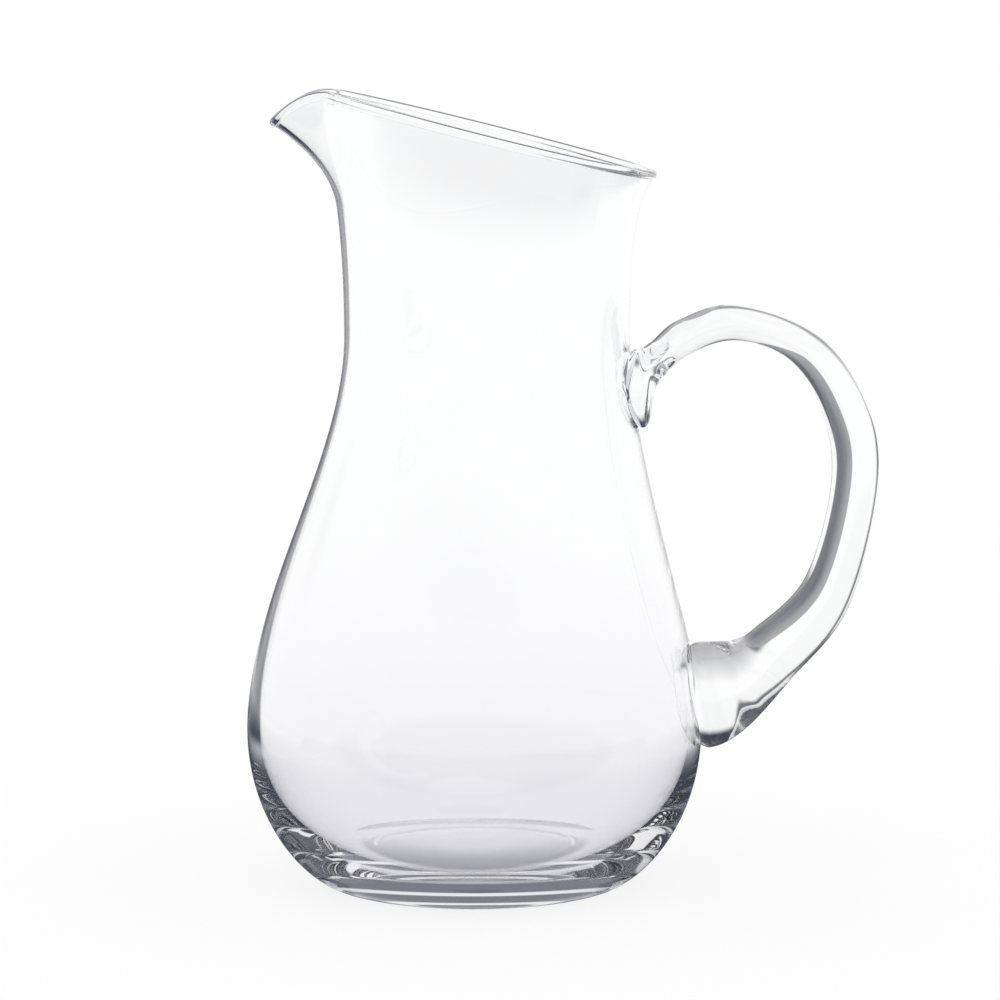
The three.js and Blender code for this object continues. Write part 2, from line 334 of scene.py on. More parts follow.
corner = cubic((FOOT_RADIUS, 0), (FOOT_RADIUS + CORNER_OUT, CORNER_UP),
               (BELLY_RADIUS, BELLY_HEIGHT - BELLY_FULLNESS), (BELLY_RADIUS, BELLY_HEIGHT))
shoulder = cubic((BELLY_RADIUS, BELLY_HEIGHT), (BELLY_RADIUS, BELLY_HEIGHT + SHOULDER_FULLNESS),
                 (NECK_RADIUS, NECK_HEIGHT - NECK_LENGTH), (NECK_RADIUS, NECK_HEIGHT))
inner_shoulder = cubic((NECK_RADIUS - NECK_WALL, NECK_HEIGHT),
                       (NECK_RADIUS - NECK_WALL, NECK_HEIGHT - NECK_LENGTH),
                       (BELLY_RADIUS - BELLY_WALL, BELLY_HEIGHT + SHOULDER_FULLNESS),
                       (BELLY_RADIUS - BELLY_WALL, BELLY_HEIGHT))
inner_floor = cubic((BELLY_RADIUS - BELLY_WALL, BELLY_HEIGHT),
                    (BELLY_RADIUS - BELLY_WALL, BELLY_HEIGHT - FLOOR_CORNER),
                    (FLOOR_FLATNESS, FLOOR_THICKNESS), (FLOOR_RADIUS, FLOOR_THICKNESS))
floor_rise = cubic((FLOOR_RADIUS, FLOOR_THICKNESS), (FLOOR_RADIUS / 2, FLOOR_THICKNESS),
                   (FLOOR_RADIUS / 2, FLOOR_THICKNESS + FLOOR_RISE), (0, FLOOR_THICKNESS + FLOOR_RISE))
mouth_middle = cubic((NECK_RADIUS - NECK_WALL / 2, NECK_HEIGHT),
                     (NECK_RADIUS - NECK_WALL / 2, NECK_HEIGHT + FLARE_START),
                     (MOUTH_RADIUS - FLARE_OUT, MOUTH_HEIGHT - FLARE_UP),
                     (MOUTH_RADIUS, MOUTH_HEIGHT))


def lean(height):
    """Where the vessel's middle stands: the neck's is a little off the belly's axis, towards the handle."""
    return AXIS_X + NECK_LEAN * smoothstep(height, LEAN_START, NECK_HEIGHT)


def level_point(radius, height, angle):
    return Vector((radius * math.cos(angle) + lean(height), radius * math.sin(angle), height))


def mouth_point(along, angle):
    """A point of the wall's middle, from 0 at the neck to 1 at the edge; the spout is at half a turn."""
    radius, height = mouth_middle(along)
    share = max(0, (height - NECK_HEIGHT) / (MOUTH_HEIGHT - NECK_HEIGHT))
    from_spout = abs(math.pi - abs(angle)) / SPOUT_HALF_ANGLE
    across = math.cos(from_spout * math.pi / 2) ** 2 if from_spout < 1 else 0
    up = max(0, (share - SPOUT_START) / (1 - SPOUT_START)) ** SPOUT_EASE
    slant = MOUTH_SLOPE * radius * math.cos(angle) * share ** SLANT_EASE
    drop = SPOUT_DROP * up * across ** LIP_EASE
    reach = radius + SPOUT_REACH * up * across
    return Vector((reach * math.cos(angle) + lean(height), reach * math.sin(angle), height - slant - drop))


def beside_wall(along, angle, out, up):
    """A point beside the wall's middle: out along the wall's normal and up along the wall."""
    above, below = min(1, along + SLOPE_STEP), max(0, along - SLOPE_STEP)
    climb = (mouth_point(above, angle) - mouth_point(below, angle)).normalized()
    turn = mouth_point(along, angle + SLOPE_STEP) - mouth_point(along, angle - SLOPE_STEP)
    normal = turn.normalized().cross(climb).normalized()
    return mouth_point(along, angle) + normal * out + climb * up


def wall_half(along):
    return mix(NECK_WALL, MOUTH_WALL, along) / 2


def outside(angle, v):
    """A point of the outside: v is 0 at the foot, 1 at the belly, 2 at the neck and 3 at the edge."""
    if v > 2:
        return beside_wall(v - 2, angle, wall_half(v - 2), 0)
    radius, height = corner(v) if v < 1 else shoulder(v - 1)
    return level_point(radius, height, angle)


def seat_bulge(aside, height):
    """How far the wall bulges in behind the handle's seats."""
    total = 0
    for middle, tall, wide in ((LOWER_SEAT_HEIGHT, LOWER_SEAT_TALL, LOWER_SEAT_WIDE),
                               (UPPER_SEAT_HEIGHT, UPPER_SEAT_TALL, UPPER_SEAT_WIDE)):
        away = math.hypot(2 * aside / wide, 2 * (height - middle) / tall)
        total += SEAT_BULGE * max(0, 1 - away * away) ** 2
    return total


def inside(radius, height, angle):
    """A point of the inside below the neck, with the bulges on the handle's side."""
    bulge = seat_bulge(radius * math.sin(angle), height) if math.cos(angle) > 0 else 0
    return level_point(radius - bulge, height, angle)


# The handle

def v_at(height, angle):
    """Where on the outside a height is reached, as a value of v."""
    return crossing(0.0, HIGHEST_PLACE, lambda v: outside(angle, v).z < height)


def handle_stations():
    """Sections from belly to neck: inner edge x and z, outer edge x and z, and width.

    The plain numbers are shares of the lengths that they stand beside.
    """
    low_x = outside(0, v_at(LOWER_SEAT_HEIGHT, 0)).x
    high_x = outside(0, v_at(UPPER_SEAT_HEIGHT, 0)).x
    reach_x = AXIS_X + HANDLE_REACH
    grip, bow = GRIP_THICKNESS, BOW_THICKNESS
    low_half, high_half = LOWER_SEAT_TALL / 2, UPPER_SEAT_TALL / 2
    fall = HANDLE_MID_HEIGHT - LOWER_SEAT_HEIGHT
    rise = HANDLE_TOP - HANDLE_MID_HEIGHT
    span = (reach_x - high_x) / 2
    low = (low_x, LOWER_SEAT_HEIGHT)
    mid = (reach_x, HANDLE_MID_HEIGHT)
    top = (high_x + TOP_PLACE * span, HANDLE_TOP)
    high = (high_x, UPPER_SEAT_HEIGHT)
    low_wide = (LOWER_SEAT_WIDE + GRIP_WIDTH) / 2
    high_wide = (UPPER_SEAT_WIDE + BOW_WIDTH) / 2

    def station(place, inner, outer, width):
        x, z = place
        return (x + inner[0], z + inner[1], x + outer[0], z + outer[1], width)

    return [
        station(low, (-SEAT_DEPTH, low_half), (-SEAT_DEPTH, -low_half), LOWER_SEAT_WIDE),
        station(low, (0.2 * grip, low_half), (0.25 * grip, -1.06 * low_half), LOWER_SEAT_WIDE),
        station(low, (0.7 * grip, 1.04 * low_half), (0.96 * grip, -0.7 * low_half), low_wide),
        station(low, (1.15 * grip, 1.28 * low_half), (1.86 * grip, 0.24 * low_half), 1.1 * GRIP_WIDTH),
        station(mid, (-1.51 * grip, -0.46 * fall), (-0.6 * grip, -0.59 * fall), GRIP_WIDTH),
        station(mid, (-grip, -0.015 * fall), (0, 0), GRIP_WIDTH),
        station(mid, (-1.22 * grip, 0.4 * rise), (-0.3 * grip, 0.43 * rise), GRIP_WIDTH),
        station(top, (0.44 * span, -1.55 * bow), (0.68 * span, -0.88 * bow), BOW_WIDTH),
        station(top, (0.025 * span, -bow), (0, 0), BOW_WIDTH),
        station(high, (1.64 * bow, 0.89 * high_half), (1.26 * bow, 1.67 * high_half), BOW_WIDTH),
        station(high, (0.66 * bow, 0.11 * high_half), (0.49 * bow, 1.15 * high_half), high_wide),
        station(high, (0.36 * bow, -0.85 * high_half), (0.09 * bow, high_half), UPPER_SEAT_WIDE),
        station(high, (-SEAT_DEPTH, -high_half), (-SEAT_DEPTH, 0.93 * high_half), UPPER_SEAT_WIDE),
    ]


handle_curve = spline(handle_stations())


def handle_point(share, turn, pinch):
    """A point of the handle's skin, drawn in by a pinch: turn is 0 on the outer edge, pi on the inner one."""
    inner_x, inner_z, outer_x, outer_z, width = handle_curve(share)
    tall = math.hypot(outer_x - inner_x, outer_z - inner_z)
    arm = math.cos(turn) * (0.5 - pinch / tall)
    x = mix(inner_x, outer_x, 0.5 + arm)
    z = mix(inner_z, outer_z, 0.5 + arm)
    return Vector((x, (width / 2 - pinch) * math.sin(turn), z))


def proud(spot):
    """How far a point stands out of the vessel's outside, and where it is on that: angle and v."""
    middle = lean(spot.z)
    angle = math.atan2(spot.y, spot.x - middle)
    v = v_at(spot.z, angle)
    wall = outside(angle, v)
    out = math.hypot(spot.x - middle, spot.y) - math.hypot(wall.x - middle, wall.y)
    return out, angle, v


def seat_share(turn, end, away):
    """The share at which one line of the handle's skin leaves the wall, searched from one of its ends."""
    def sunk(share):
        return proud(handle_point(share, turn, GROOVE_DEPTH))[0] < 0

    step = HANDLE_SEARCH * away
    share = end
    while sunk(share):
        share += step
    return crossing(share - step, share, sunk)


class Seat:
    """Where one end of the handle is fused to the wall: a loop of points on the outside."""

    def __init__(self, turns, end, away):
        self.shares = [seat_share(turn, end, away) for turn in turns]
        self.places = []
        for share, turn in zip(self.shares, turns):
            _, angle, v = proud(handle_point(share, turn, GROOVE_DEPTH))
            self.places.append((angle, v))
        self.spots = [outside(angle, v) for angle, v in self.places]


# Meshes

class Skin:
    """Points and faces of one piece of glass, and the kind of each face."""

    def __init__(self, spots, faces):
        self.spots = spots
        self.faces = faces
        self.kinds = [GLASS] * len(faces)

    def add(self, face, kind):
        self.faces.append(face)
        self.kinds.append(kind)

    def drop_unused(self):
        """Take out the points that no face uses."""
        used = sorted({n for face in self.faces for n in face})
        renumbered = {n: i for i, n in enumerate(used)}
        self.spots = [self.spots[n] for n in used]
        self.faces = [[renumbered[n] for n in face] for face in self.faces]


def mesh_object(name, skin, materials, creases=()):
    """A smooth mesh whose faces take the material of their kind."""
    mesh = bpy.data.meshes.new(name)
    mesh.from_pydata([tuple(p) for p in skin.spots], [], skin.faces)
    for material in materials:
        mesh.materials.append(material)
    mesh.polygons.foreach_set("material_index", skin.kinds)
    mesh.polygons.foreach_set("use_smooth", [True] * len(skin.faces))
    if creases:
        wanted = {tuple(sorted(edge)) for edge in creases}
        for edge in mesh.edges:
            edge.use_edge_sharp = tuple(sorted(edge.vertices)) in wanted
    mesh.validate()
    mesh.update()
    piece = bpy.data.objects.new(name, mesh)
    bpy.context.scene.collection.objects.link(piece)
    return piece


def main_rows():
    """Rows of the outside from the foot's edge to the bead, as values of v."""
    below = [mix(FOOT_EDGE_END, 1, i / CORNER_STEPS) for i in range(1, CORNER_STEPS)]
    belly = [1 + i / SHOULDER_STEPS for i in range(SHOULDER_STEPS)]
    flare = [2 + i / FLARE_STEPS for i in range(FLARE_STEPS)]
    return below + belly + flare


def ring_angles():
    """Angles round the vessel from the spout, past the handle at 0, back to the spout."""
    return [-math.pi + 2 * math.pi * j / RING_SIDES for j in range(RING_SIDES)]


def vessel_rings():
    """Closed rings from the middle of the underside to the middle of the floor, and the first main row's."""
    angles = ring_angles()
    rings = []

    def level(radius, height):
        rings.append([level_point(radius, height, a) for a in angles])

    step_top = (PUSH_UP_RADIUS - STEP_WIDTH, STEP_HEIGHT)
    dome = bend((0, PUSH_UP_DEPTH), (step_top[0] / 2, PUSH_UP_DEPTH), step_top)
    for t in steps(DOME_STEPS)[1:-1]:
        level(*dome(t))
    level(step_top[0] - CREASE, STEP_HEIGHT)
    level(step_top[0] + CREASE, STEP_HEIGHT * (1 - CREASE / STEP_WIDTH))
    level(PUSH_UP_RADIUS - CREASE, STEP_HEIGHT * CREASE / STEP_WIDTH)
    level(PUSH_UP_RADIUS + CREASE, 0)
    level(FOOT_RADIUS - FOOT_ROUND - CREASE, 0)
    edge = bend((FOOT_RADIUS - FOOT_ROUND, 0), (FOOT_RADIUS, 0), corner(FOOT_EDGE_END))
    for t in steps(EDGE_STEPS):
        level(*edge(t))
    first = len(rings)
    for v in main_rows():
        rings.append([outside(a, v) for a in angles])
    for t in steps(BEAD_STEPS):
        turn = mix(-BEAD_WRAP, 1 + BEAD_WRAP, t) * math.pi
        out, up = BEAD_RADIUS * math.cos(turn), BEAD_RADIUS * math.sin(turn)
        rings.append([beside_wall(1, a, out, up) for a in angles])
    for t in reversed(steps(FLARE_STEPS)[1:-1]):
        rings.append([beside_wall(t, a, -wall_half(t), 0) for a in angles])
    for t in steps(SHOULDER_STEPS):
        rings.append([inside(*inner_shoulder(t), a) for a in angles])
    for t in steps(FLOOR_STEPS)[1:]:
        rings.append([inside(*inner_floor(t), a) for a in angles])
    for t in steps(DOME_STEPS)[1:-1]:
        level(*floor_rise(t))
    return rings, first


def ring_number(ring, j):
    """The number of a point of the vessel's rings; number 0 is the middle of the underside."""
    return 1 + ring * RING_SIDES + j % RING_SIDES


def vessel_skin(rings, holes):
    """The vessel's wall, open where its holes are: blocks from one ring and column to another."""
    spots = [level_point(0, PUSH_UP_DEPTH, 0)]
    for ring in rings:
        spots += ring
    spots.append(level_point(0, FLOOR_THICKNESS + FLOOR_RISE, 0))
    top = len(spots) - 1
    last = len(rings) - 1
    faces = []
    for j in range(RING_SIDES):
        faces.append((0, ring_number(0, j + 1), ring_number(0, j)))
        faces.append((top, ring_number(last, j), ring_number(last, j + 1)))
    for ring in range(last):
        for j in range(RING_SIDES):
            if not any(a <= ring < b and c <= j < d for a, b, c, d in holes):
                low, high = ring_number(ring, j), ring_number(ring, j + 1)
                faces.append((low, high, ring_number(ring + 1, j + 1), ring_number(ring + 1, j)))
    return Skin(spots, faces)


def handle_skin(lower, upper, turns):
    """The handle from seat to seat, open at its ends and drawn in towards them."""
    spots, faces = [], []
    for i in range(HANDLE_STEPS + 1):
        rows_off = min(i, HANDLE_STEPS - i) / GROOVE_ROWS
        pinch = GROOVE_DEPTH * max(0, 1 - rows_off) ** 2
        for k, turn in enumerate(turns):
            share = mix(lower.shares[k], upper.shares[k], i / HANDLE_STEPS)
            spots.append(handle_point(share, turn, pinch))
    for i in range(HANDLE_STEPS):
        near, far = i * SECTION_SIDES, (i + 1) * SECTION_SIDES
        for k in range(SECTION_SIDES):
            after = (k + 1) % SECTION_SIDES
            faces.append((near + k, near + after, far + after, far + k))
    return Skin(spots, faces)


# The fused seats

def flat_place(angle, v):
    """A place on the wall, laid flat: about as wide as the wall is round, as tall as a unit of v climbs."""
    return Vector((angle * NECK_RADIUS, v * (NECK_HEIGHT - BELLY_HEIGHT)))


def inside_loop(place, loop):
    """Whether a flat place lies inside a closed loop of flat places."""
    hit = False
    for a, b in zip(loop, loop[1:] + loop[:1]):
        if (a.y > place.y) != (b.y > place.y):
            if place.x < a.x + (place.y - a.y) / (b.y - a.y) * (b.x - a.x):
                hit = not hit
    return hit


def distance_to_loop(place, loop):
    return min((place - spot).length for spot in loop)


def seat_window(seat, rows, angles):
    """The block of rows and columns of the outside that holds a seat, with some to spare all round."""
    vs = [v for _, v in seat.places]
    turns = [angle for angle, _ in seat.places]
    row_low = max(i for i, v in enumerate(rows) if v < min(vs)) - SPARE_ROWS
    row_high = min(i for i, v in enumerate(rows) if v > max(vs)) + SPARE_ROWS
    column_low = max(j for j, a in enumerate(angles) if a < min(turns)) - SPARE_ROWS
    column_high = min(j for j, a in enumerate(angles) if a > max(turns)) + SPARE_ROWS
    return row_low, row_high, column_low, column_high


def weld_triangles(seat, window, rows, angles, first):
    """Triangles of a window inside and outside the seat's loop, whose points are numbered from -1 down."""
    row_low, row_high, column_low, column_high = window
    loop = [flat_place(angle, v) for angle, v in seat.places]
    gap = LOOP_GAP * (loop[0] - loop[1]).length
    numbers, places = [], []
    for i in range(row_low, row_high + 1):
        for j in range(column_low, column_high + 1):
            place = flat_place(angles[j], rows[i])
            border = i in (row_low, row_high) or j in (column_low, column_high)
            if border or distance_to_loop(place, loop) > gap:
                numbers.append(ring_number(first + i, j))
                places.append(place)
    start = len(places)
    count = len(loop)
    places += loop
    numbers += [-1 - k for k in range(count)]
    edges = [(start + k, start + (k + 1) % count) for k in range(count)]
    flat, _, triangles, sources = delaunay_2d_cdt(places, edges, [], ALL_TRIANGLES, SAME_POINT)[:4]
    inner, outer = [], []
    for triangle in triangles:
        middle = sum((flat[k] for k in triangle), Vector((0, 0))) / 3
        named = [numbers[sources[k][0]] for k in triangle]
        (inner if inside_loop(middle, loop) else outer).append(named)
    return inner, outer


def fuse(vessel, handle, seat, handle_start, inner, outer):
    """Close both skins at a seat: the outer triangles are wall, the inner ones are the weld of both."""
    loop_start = len(vessel.spots)
    vessel.spots += seat.spots
    handle.spots[handle_start:handle_start + SECTION_SIDES] = seat.spots

    def on_vessel(triangle):
        return [n if n >= 0 else loop_start - 1 - n for n in triangle]

    for triangle in outer:
        vessel.add(on_vessel(triangle), GLASS)
    copies = {}
    for triangle in inner:
        vessel.add(on_vessel(triangle), WELD)
        for n in triangle:
            if n >= 0 and n not in copies:
                copies[n] = len(handle.spots)
                handle.spots.append(vessel.spots[n])
        cap = [copies[n] if n >= 0 else handle_start - 1 - n for n in triangle]
        handle.add(cap[::-1], WELD)


def make_pieces(vessel_glass, handle_glass, weld):
    """The vessel and the handle, closed and fused at the two seats."""
    turns = [2 * math.pi * k / SECTION_SIDES for k in range(SECTION_SIDES)]
    seats = (Seat(turns, 0, 1), Seat(turns, 1, -1))
    rows, angles = main_rows(), ring_angles()
    rings, first = vessel_rings()
    windows = [seat_window(seat, rows, angles) for seat in seats]
    holes = [(first + a, first + b, c, d) for a, b, c, d in windows]
    vessel = vessel_skin(rings, holes)
    handle = handle_skin(*seats, turns)

    creases = []
    ends = (0, HANDLE_STEPS * SECTION_SIDES)
    for seat, window, end in zip(seats, windows, ends):
        inner, outer = weld_triangles(seat, window, rows, angles, first)
        fuse(vessel, handle, seat, end, inner, outer)
        creases += [(end + k, end + (k + 1) % SECTION_SIDES) for k in range(SECTION_SIDES)]
    vessel.drop_unused()
    return (mesh_object("glass_vessel", vessel, [vessel_glass, weld]),
            mesh_object("glass_handle", handle, [handle_glass, weld], creases))


# Materials

class Shades:
    """The nodes of one material or world, and a short way to add each kind that this scene uses."""

    def __init__(self, owner):
        owner.use_nodes = True
        self.nodes = owner.node_tree.nodes
        self.links = owner.node_tree.links
        self.light_path = None

    def feed(self, socket, value):
        """Give a socket a value or another node's output."""
        if isinstance(value, bpy.types.NodeSocket):
            self.links.new(value, socket)
        else:
            socket.default_value = value

    def maths(self, operation, *values):
        node = self.nodes.new("ShaderNodeMath")
        node.operation = operation
        for socket, value in zip(node.inputs, values):
            self.feed(socket, value)
        return node.outputs[0]

    def opposite(self, share):
        return self.maths("SUBTRACT", 1.0, share)

    def all_of(self, *shares):
        """Shares multiplied with each other."""
        whole = shares[0]
        for share in shares[1:]:
            whole = self.maths("MULTIPLY", whole, share)
        return whole

    def ease(self, value, limits):
        """A smooth step from 0 at the first limit to 1 at the second."""
        node = self.nodes.new("ShaderNodeMapRange")
        node.interpolation_type = "SMOOTHSTEP"
        self.feed(node.inputs["Value"], value)
        self.feed(node.inputs["From Min"], limits[0])
        self.feed(node.inputs["From Max"], limits[1])
        return node.outputs["Result"]

    def between(self, value, start, end):
        """A share that rises at the start's limits and falls at the end's."""
        return self.all_of(self.ease(value, start), self.opposite(self.ease(value, end)))

    def blend(self, share, first, second):
        """Two colours mixed by a share."""
        node = self.nodes.new("ShaderNodeMix")
        node.data_type = "RGBA"
        self.feed(node.inputs["Factor"], share)
        for name, colour in (("A", first), ("B", second)):
            socket = [s for s in node.inputs if s.name == name and s.type == "RGBA"][0]
            self.feed(socket, colour)
        return [s for s in node.outputs if s.type == "RGBA"][0]

    def parts(self, vector):
        """The X, Y and Z of a vector."""
        node = self.nodes.new("ShaderNodeSeparateXYZ")
        self.feed(node.inputs["Vector"], vector)
        return node.outputs

    def distance(self, place, spot):
        node = self.nodes.new("ShaderNodeVectorMath")
        node.operation = "DISTANCE"
        self.feed(node.inputs[0], place)
        self.feed(node.inputs[1], spot)
        return node.outputs["Value"]

    def mix_shaders(self, share, first, second):
        node = self.nodes.new("ShaderNodeMixShader")
        self.feed(node.inputs["Fac"], share)
        self.feed(node.inputs[1], first.outputs[0])
        self.feed(node.inputs[2], second.outputs[0])
        return node

    def ray(self, name):
        """What the Light Path node says of a ray."""
        if self.light_path is None:
            self.light_path = self.nodes.new("ShaderNodeLightPath")
        return self.light_path.outputs[name]


def glass_material(name, low_colour, high_colour, by_height):
    """Clear glass between two faint tints, by height or only by the cords that blowing and drawing leave."""
    material = bpy.data.materials.new(name)
    tree = Shades(material)
    shader = tree.nodes["Principled BSDF"]
    place = tree.nodes.new("ShaderNodeTexCoord").outputs["Object"]
    cords = tree.nodes.new("ShaderNodeTexNoise")
    tree.feed(cords.inputs["Vector"], place)
    tree.feed(cords.inputs["Scale"], 1 / CORD_SIZE)
    share = cords.outputs["Fac"]
    if by_height:
        thin = tree.ease(tree.parts(place)["Z"], THICK_HEIGHT)
        swing = tree.maths("MULTIPLY_ADD", share, CORD_SHARE, -CORD_SHARE / 2)
        share = tree.maths("ADD", thin, swing)
    tree.feed(shader.inputs["Base Color"], tree.blend(share, low_colour, high_colour))
    tree.feed(shader.inputs["Roughness"], 0)
    tree.feed(shader.inputs["IOR"], GLASS_IOR)
    tree.feed(shader.inputs["Transmission Weight"], 1)
    return material


def weld_material():
    """The fused face between handle and wall, which light passes straight."""
    material = bpy.data.materials.new("fused_seal")
    tree = Shades(material)
    tree.nodes.remove(tree.nodes["Principled BSDF"])
    clear = tree.nodes.new("ShaderNodeBsdfTransparent")
    tree.feed(tree.nodes["Material Output"].inputs["Surface"], clear.outputs["BSDF"])
    return material


# Rays that the stage tells apart

def seen_rays(tree):
    """1 for the camera's rays and for those that show a surface in the glass or through it."""
    in_glass = tree.maths("MAXIMUM", tree.ray("Is Glossy Ray"), tree.ray("Is Transmission Ray"))
    return tree.maths("MAXIMUM", in_glass, tree.ray("Is Camera Ray"))


def through_rays(tree):
    """1 for rays that have passed right through the vessel, wall and wall."""
    return tree.maths("GREATER_THAN", tree.ray("Transmission Depth"), CLEAR_DEPTH)


def turned_rays(tree, turns):
    """1 for rays that the glass has turned more often than this."""
    return tree.maths("GREATER_THAN", tree.ray("Ray Depth"), turns)


def deep_rays(tree, turns):
    """1 for rays from the thick corner of the base, which have turned often and have left the glass once."""
    return tree.all_of(turned_rays(tree, turns), tree.opposite(through_rays(tree)))


def shallow_rays(tree, turns):
    """1 for rays that have only passed straight through the handle or one wall."""
    return tree.all_of(tree.ray("Is Transmission Ray"), tree.opposite(turned_rays(tree, turns)))


# The floor

def table_colour(tree, away, back):
    """The table as rays from the glass see it, painted dark, pale or shaded by distance from the vessel's
    axis and place behind it.
    """
    # Painted dark reflections and refractions: to rays from the glass the table is dark near the vessel,
    # white far off and far behind.
    behind = tree.maths("GREATER_THAN", back, 0.0)
    mirror_bare = tree.all_of(tree.ease(away, MIRROR_EDGE), behind)
    mirrored = tree.blend(mirror_bare, DARK_COLOUR, WHITE)
    sent = tree.blend(tree.ease(away, TABLE_EDGE), DARK_COLOUR, WHITE)
    table = tree.blend(tree.ray("Is Transmission Ray"), mirrored, sent)

    # Painted grey refraction: plain passes through the handle or one wall see the table pale grey in front,
    # white further back.
    pale = tree.blend(tree.ease(back, PALE_DEPTH), PALE_COLOUR, WHITE)
    table = tree.blend(shallow_rays(tree, SHALLOW_TURNS), table, pale)

    # Painted shade under the base, broken by white rings UNDER_RING apart.
    wave = tree.maths("SINE", tree.maths("MULTIPLY", away, 2 * math.pi / UNDER_RING))
    under = tree.blend(tree.ease(wave, UNDER_WAVE), UNDER_SHADE_COLOUR, WHITE)
    table = tree.blend(tree.ease(away, UNDER_EDGE), under, table)

    lit = tree.maths("MAXIMUM", tree.ease(away, SHADE_EDGE), tree.ease(back, SHADE_DEPTH))
    shade = tree.blend(lit, SHADE_COLOUR, WHITE)
    table = tree.blend(through_rays(tree), table, shade)
    # Painted dark refraction: rays from the thick corner of the base see the table dark.
    table = tree.blend(deep_rays(tree, DEEP_TURNS), table, DEEP_COLOUR)
    return tree.blend(tree.ray("Is Camera Ray"), table, WHITE)


def table_gone(tree, away, aside):
    """How far the table has faded out: far away for the camera, and closer for rays from the glass."""
    gone = tree.ease(away, (TABLE_RADIUS - TABLE_FADE, TABLE_RADIUS))
    fades = ((tree.ray("Is Transmission Ray"), tree.ease(away, SENT_SIGHT)),
             (through_rays(tree), tree.ease(away, CLEAR_SIGHT)),
             (shallow_rays(tree, SHALLOW_TURNS), tree.ease(aside, HANDLE_SIGHT)))
    for rays, fade in fades:
        gone = tree.maths("MAXIMUM", gone, tree.all_of(rays, fade))
    return gone


def floor_material():
    """White to the camera apart from the pitcher's shadow, the table with its painted reflections and shade
    to the glass, and faded at its edge.
    """
    material = bpy.data.materials.new("pale_floor")
    tree = Shades(material)
    matte = tree.nodes["Principled BSDF"]
    tree.feed(matte.inputs["Base Color"], TABLE_COLOUR)
    tree.feed(matte.inputs["Roughness"], TABLE_ROUGHNESS)
    tree.feed(matte.inputs["Specular IOR Level"], 0)
    place = tree.nodes.new("ShaderNodeNewGeometry").outputs["Position"]
    aside, back, _ = tree.parts(place)
    away = tree.distance(place, (AXIS_X, 0, 0))
    glow = tree.nodes.new("ShaderNodeEmission")
    tree.feed(glow.inputs["Color"], table_colour(tree, away, back))
    shading = tree.maths("MULTIPLY", tree.ray("Is Camera Ray"), 1 - TABLE_GLOW)
    share = tree.maths("SUBTRACT", seen_rays(tree), shading)
    lit = tree.mix_shaders(share, matte, glow)
    nothing = tree.nodes.new("ShaderNodeBsdfTransparent")
    whole = tree.mix_shaders(table_gone(tree, away, aside), lit, nothing)
    tree.feed(tree.nodes["Material Output"].inputs["Surface"], whole.outputs["Shader"])
    return material


def add_floor():
    """One round flat face under the pitcher."""
    ring = [2 * math.pi * k / TABLE_SIDES for k in range(TABLE_SIDES)]
    corners = [(AXIS_X + TABLE_RADIUS * math.cos(a), TABLE_RADIUS * math.sin(a), -TABLE_DROP) for a in ring]
    mesh = bpy.data.meshes.new("floor")
    mesh.from_pydata(corners, [], [tuple(range(TABLE_SIDES))])
    mesh.materials.append(floor_material())
    face = bpy.data.objects.new("floor", mesh)
    bpy.context.scene.collection.objects.link(face)


# The studio, by the parts of a ray's direction

def room_sides(tree, right, left, back, height):
    """The white room with its painted dark ground, left side, ceiling, mirrored corner and right side, seen
    only in the glass.
    """
    sent = tree.ray("Is Transmission Ray")
    shallow = shallow_rays(tree, SHALLOW_TURNS + WORLD_TURN)
    ground = tree.all_of(sent, tree.opposite(tree.ease(height, GROUND)))
    room = tree.blend(ground, WHITE, WALL_COLOUR)

    slanted = tree.maths("MULTIPLY_ADD", height, LEFT_SLANT, left)
    band = tree.all_of(tree.ease(left, LEFT_START), tree.opposite(tree.ease(slanted, LEFT_END)),
                       tree.opposite(shallow))
    edge = tree.all_of(tree.between(left, OUTER_EDGE, OUTER_END), shallow)
    wall = tree.all_of(sent, tree.maths("MAXIMUM", band, edge), tree.ease(back, BEHIND))
    wall_colour = tree.blend(tree.ease(height, LEFT_LOW), DARK_COLOUR, WALL_COLOUR)
    room = tree.blend(wall, room, wall_colour)

    ceiling = tree.all_of(sent, tree.ease(height, CEILING))
    room = tree.blend(ceiling, room, DARK_COLOUR)
    mirrored = tree.all_of(tree.opposite(sent), tree.ease(left, CORNER_SIDE), tree.ease(back, CORNER_BACK))
    room = tree.blend(mirrored, room, WALL_COLOUR)

    side = tree.blend(tree.ease(right, RIGHT_ROUND), *RIGHT_COLOURS)
    return tree.blend(tree.all_of(shallow, tree.between(right, RIGHT_SIDE, RIGHT_END)), room, side)


def room_beyond(tree, back, height):
    """The room to rays that have passed right through: white, but painted dim high in front and low behind.
    """
    front = tree.maths("MULTIPLY", back, -1.0)
    down = tree.maths("MULTIPLY", height, -1.0)
    rising = tree.all_of(tree.ease(height, RISING), tree.ease(front, BEHIND))
    steep = tree.all_of(tree.ease(down, STEEP), tree.ease(back, STEEP_BACK))
    dim = tree.maths("MAXIMUM", rising, steep)
    often = turned_rays(tree, DEEP_TURNS + WORLD_TURN)
    return tree.blend(dim, WHITE, tree.blend(often, DARK_COLOUR, FAR_COLOUR))


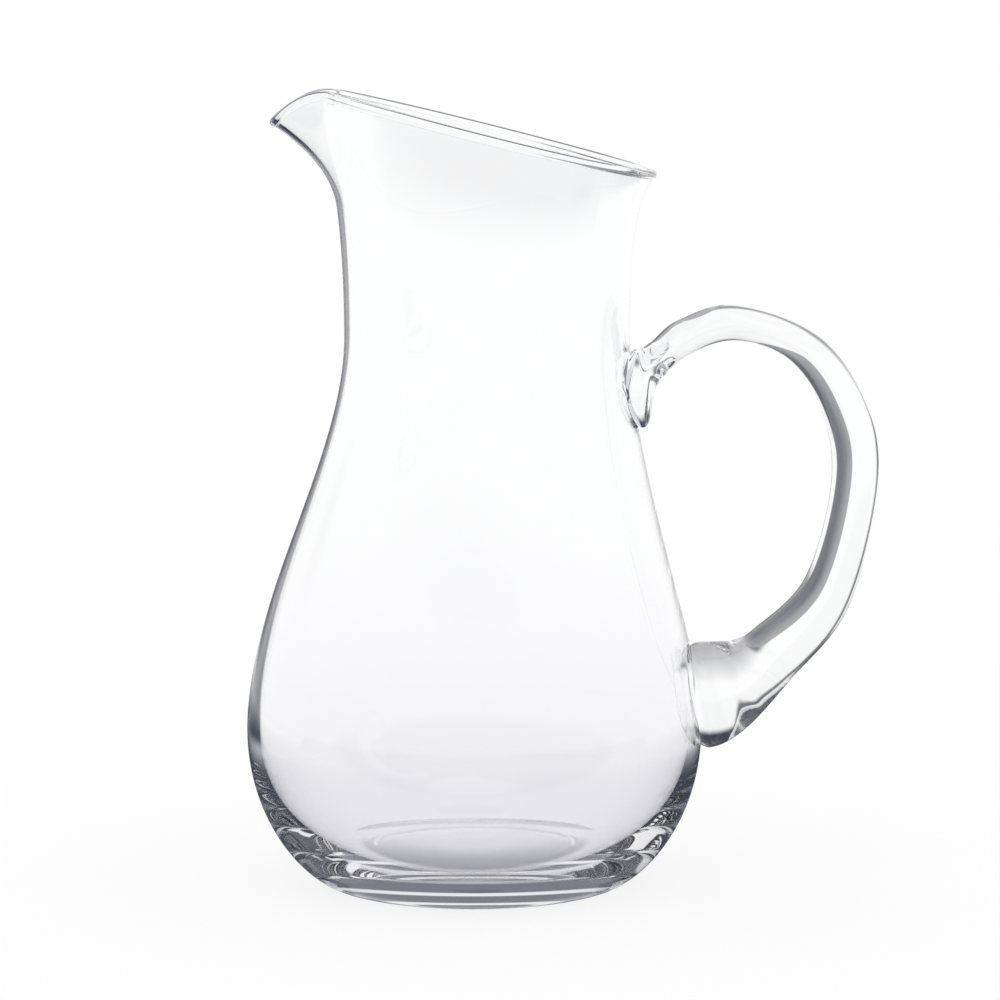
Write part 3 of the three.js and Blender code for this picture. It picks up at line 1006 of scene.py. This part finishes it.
def room_from_corner(tree, room, right, left, back, height):
    """The room, with what rays from the thick corner of the base see: white to the sides, else painted dark.
    """
    level_right = tree.all_of(tree.ease(right, DEEP_SIDE), tree.opposite(tree.ease(height, DEEP_LEVEL)))
    across = tree.maths("MAXIMUM", tree.ease(left, DEEP_SIDE), level_right)
    bright = tree.all_of(across, tree.ease(back, DEEP_BACK))
    deep = deep_rays(tree, DEEP_TURNS + WORLD_TURN)
    dark = tree.all_of(deep, tree.ease(height, DEEP_FOOT), tree.opposite(bright))
    room = tree.blend(tree.all_of(deep, bright), room, WHITE)
    return tree.blend(dark, room, DEEP_COLOUR)


def room_colour(tree, right, back, height):
    """White to the camera, and the studio with its painted dark reflections to rays from the glass."""
    left = tree.maths("MULTIPLY", right, -1.0)
    room = room_sides(tree, right, left, back, height)
    room = tree.blend(through_rays(tree), room, room_beyond(tree, back, height))
    room = room_from_corner(tree, room, right, left, back, height)
    return tree.blend(tree.ray("Is Camera Ray"), room, WHITE)


def add_world():
    """The studio, white to the camera and with painted dark reflections to the glass, and even fill to the
    floor.
    """
    world = bpy.data.worlds.new("studio")
    bpy.context.scene.world = world
    tree = Shades(world)
    direction = tree.nodes.new("ShaderNodeTexCoord").outputs["Generated"]
    shown = tree.nodes["Background"]
    tree.feed(shown.inputs["Color"], room_colour(tree, *tree.parts(direction)))
    fill = tree.nodes.new("ShaderNodeBackground")
    tree.feed(fill.inputs["Color"], FILL_COLOUR)
    both = tree.mix_shaders(seen_rays(tree), fill, shown)
    tree.feed(tree.nodes["World Output"].inputs["Surface"], both.outputs["Shader"])


# The camera

def add_camera():
    data = bpy.data.cameras.new("camera")
    data.lens = CAMERA_LENS
    camera = bpy.data.objects.new("camera", data)
    camera.location = (AXIS_X + CAMERA_RIGHT, -CAMERA_BACK, CAMERA_HEIGHT)
    camera.rotation_euler = (math.radians(90) - CAMERA_TILT, 0, 0)
    bpy.context.scene.collection.objects.link(camera)
    bpy.context.scene.camera = camera


# The scene

vessel, handle = make_pieces(glass_material("vessel_glass", THICK_COLOUR, THIN_COLOUR, True),
                             glass_material("handle_glass", *DRAWN_COLOURS, False), weld_material())
for piece, node in ((vessel, "vessel"), (handle, "handle")):
    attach(piece, "root")
    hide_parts(node)

add_floor()
add_world()
add_camera()
bpy.context.scene.cycles.max_bounces = GLASS_BOUNCES
bpy.context.scene.cycles.transmission_bounces = GLASS_BOUNCES
bpy.context.scene.cycles.glossy_bounces = GLASS_BOUNCES
bpy.context.scene.cycles.transparent_max_bounces = CLEAR_BOUNCES
bpy.context.scene.view_settings.view_transform = "Standard"
